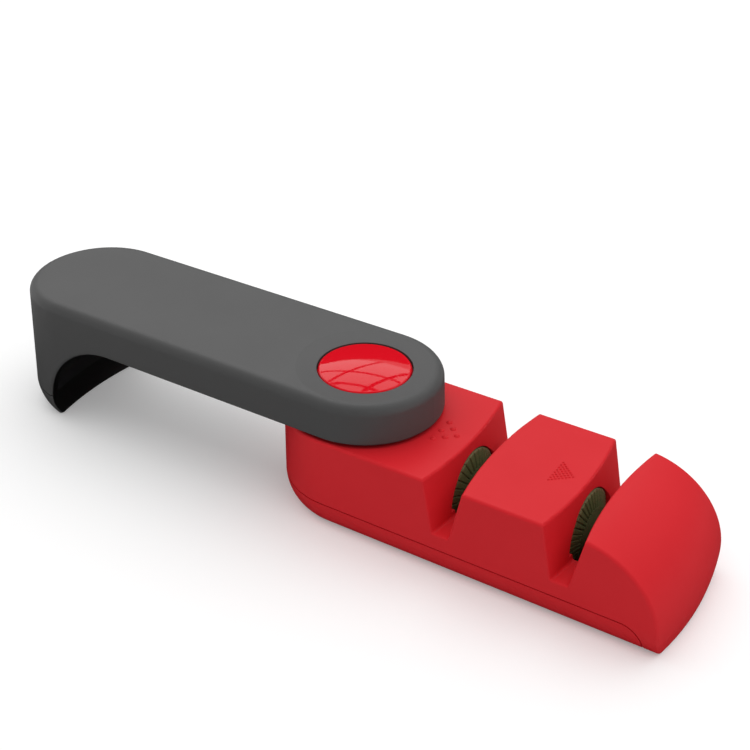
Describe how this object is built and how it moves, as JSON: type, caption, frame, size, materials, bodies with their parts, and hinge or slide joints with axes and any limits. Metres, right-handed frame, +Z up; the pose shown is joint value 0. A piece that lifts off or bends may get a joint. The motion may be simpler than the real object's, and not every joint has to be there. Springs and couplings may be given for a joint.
{
  "type": "pull through knife sharpener",
  "caption": "Folding pull-through knife sharpener: a red base with V slots over ribbed ceramic wheels, and a grey handle that swings open on a push button.",
  "frame": {"origin": "on the table under the handle's pivot axis", "axes": "+X along the base from the pivot to the nose, +Y across the body, +Z up; at rest the handle is swung open along -X"},
  "size_m": [0.2353, 0.0488, 0.0448],
  "materials": {
    "red_moulding": "satin moulded",
    "red_gloss": "polished",
    "grey_soft_touch": "soft-touch matte",
    "black_moulding": "moulded",
    "acetal": "moulded",
    "ceramic": "sintered, ribbed",
    "steel": "ground",
    "zinc_screw": "zinc plated",
    "rubber_pad": "moulded"
  },
  "bodies": {
    "base": {"upper_housing": "red_moulding", "bottom_cover": "red_moulding", "foot_pads": "rubber_pad", "base_screws": "zinc_screw", "coarse_cradle": "black_moulding", "fine_cradle": "black_moulding", "cradle_screws": "zinc_screw", "coarse_axle": "steel", "fine_axle": "steel", "pivot_post": "steel", "post_screws": "zinc_screw", "thrust_washer": "acetal", "latch_spring": "steel", "retaining_washer": "steel", "pivot_screw": "zinc_screw"},
    "handle": {"handle_shell": "grey_soft_touch", "handle_liner": "black_moulding", "nose_foot": "grey_soft_touch", "index_ring": "acetal", "pivot_bush": "acetal", "handle_screws": "zinc_screw", "foot_screws": "zinc_screw", "button_spring": "steel"},
    "button": {"release_button": "red_gloss"},
    "coarse_wheels": {"coarse_wheel_left": "ceramic", "coarse_wheel_right": "ceramic", "coarse_hub": "black_moulding"},
    "fine_wheels": {"fine_wheel_left": "ceramic", "fine_wheel_right": "ceramic", "fine_hub": "black_moulding"}
  },
  "joints": [
    {"name": "handle_swing", "type": "hinge", "parent": "base", "child": "handle", "pos_m": [0, 0, 0.032], "axis": [0, 0, 1], "range_deg": [0, 180], "deforming": ["latch_spring"]},
    {"name": "button_press", "type": "slide", "parent": "handle", "child": "button", "axis": [0, 0, -1], "range_m": [0, 0.0022], "stiffness_N_per_m": 900, "springref_m": -0.002, "deforming": ["button_spring", "latch_spring"]},
    {"name": "coarse_spin", "type": "hinge", "parent": "base", "child": "coarse_wheels", "pos_m": [0.04009, 0, 0.0149], "axis": [1, 0, 0], "continuous": true},
    {"name": "fine_spin", "type": "hinge", "parent": "base", "child": "fine_wheels", "pos_m": [0.0768, 0, 0.0149], "axis": [1, 0, 0], "continuous": true}
  ]
}
